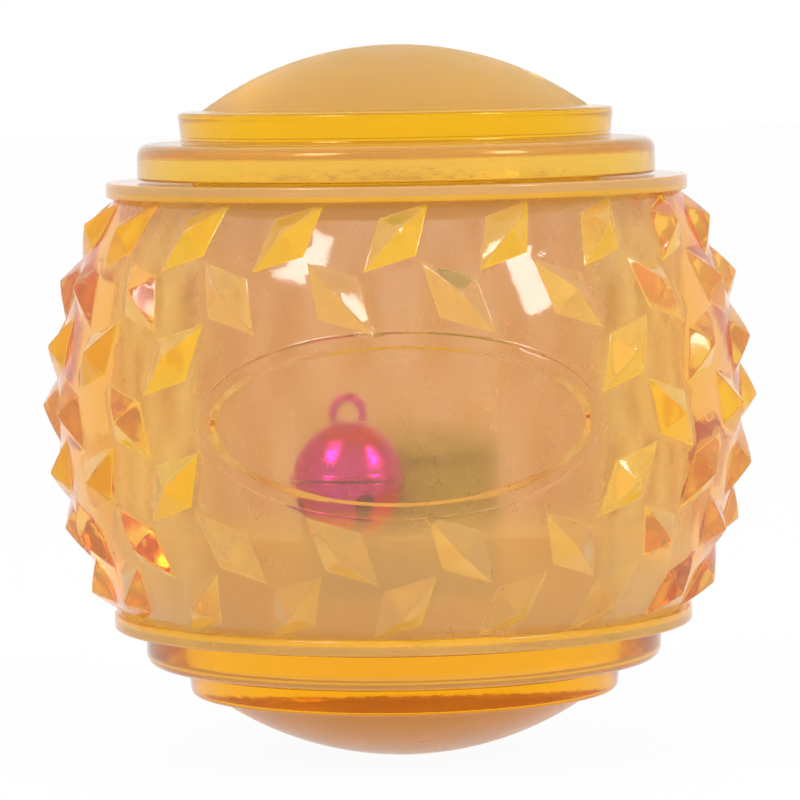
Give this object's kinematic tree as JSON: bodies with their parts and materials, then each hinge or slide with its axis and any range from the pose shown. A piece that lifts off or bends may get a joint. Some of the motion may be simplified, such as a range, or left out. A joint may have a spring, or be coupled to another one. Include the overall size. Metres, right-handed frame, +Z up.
{
  "type": "light-up dog ball",
  "caption": "Clear orange rubber dog ball with stepped domed ends and slanted studs, holding a flashing light module and a loose jingle bell.",
  "frame": {"origin": "middle of the small foot flat under the lower dome, where the ball stands", "axes": "+Z up along the ball's axis through both domes, -Y towards the oval badge, +X to the right as the badge is seen"},
  "size_m": [0.07, 0.068, 0.0693],
  "materials": {
    "belt_rubber": "glossy clear orange soft rubber",
    "cap_rubber": "clear orange soft rubber, domes frosted",
    "green_plastic": "see-through green plastic",
    "contact_brass": "sheet brass",
    "cell_steel": "nickel-plated steel",
    "board_laminate": "solder-masked laminate",
    "red_lens": "tinted clear epoxy",
    "green_lens": "tinted clear epoxy",
    "blue_lens": "tinted clear epoxy",
    "black_epoxy": "black moulded epoxy",
    "spring_steel": "bright spring wire",
    "bell_metal": "magenta lacquered metal, shiny",
    "pellet_steel": "plain steel"
  },
  "bodies": {
    "ball": {"studded_belt": "belt_rubber", "upper_cap": "cap_rubber", "lower_cap": "cap_rubber", "module_cup": "green_plastic", "module_lid": "green_plastic", "lower_contact": "contact_brass", "upper_contact": "contact_brass", "coin_cell_lower": "cell_steel", "coin_cell_upper": "cell_steel", "circuit_board": "board_laminate", "led_red": "red_lens", "led_green": "green_lens", "led_blue": "blue_lens", "flasher_chip": "black_epoxy", "resistor": "black_epoxy", "switch_pin": "contact_brass"},
    "bell": {"bell_crown": "bell_metal", "bell_bowl": "bell_metal", "bell_loop": "bell_metal"},
    "pellet": {"bell_pellet": "pellet_steel"},
    "shake_switch": {"switch_spring": "spring_steel"}
  },
  "joints": [
    {"name": "bell_roll", "type": "hinge", "parent": "ball", "child": "bell", "pos_m": [0, 0, 0.0291], "axis": [0, 0, 1], "continuous": true},
    {"name": "pellet_rattle", "type": "hinge", "parent": "bell", "child": "pellet", "pos_m": [-0.00457, -0.01408, 0.0291], "axis": [0, 1, 0], "continuous": true},
    {"name": "switch_wobble", "type": "hinge", "parent": "ball", "child": "shake_switch", "pos_m": [-0.00398, 0.0023, 0.02715], "axis": [0, 1, 0], "range_deg": [-6, 6], "stiffness_Nm_per_rad": 0.00002}
  ]
}
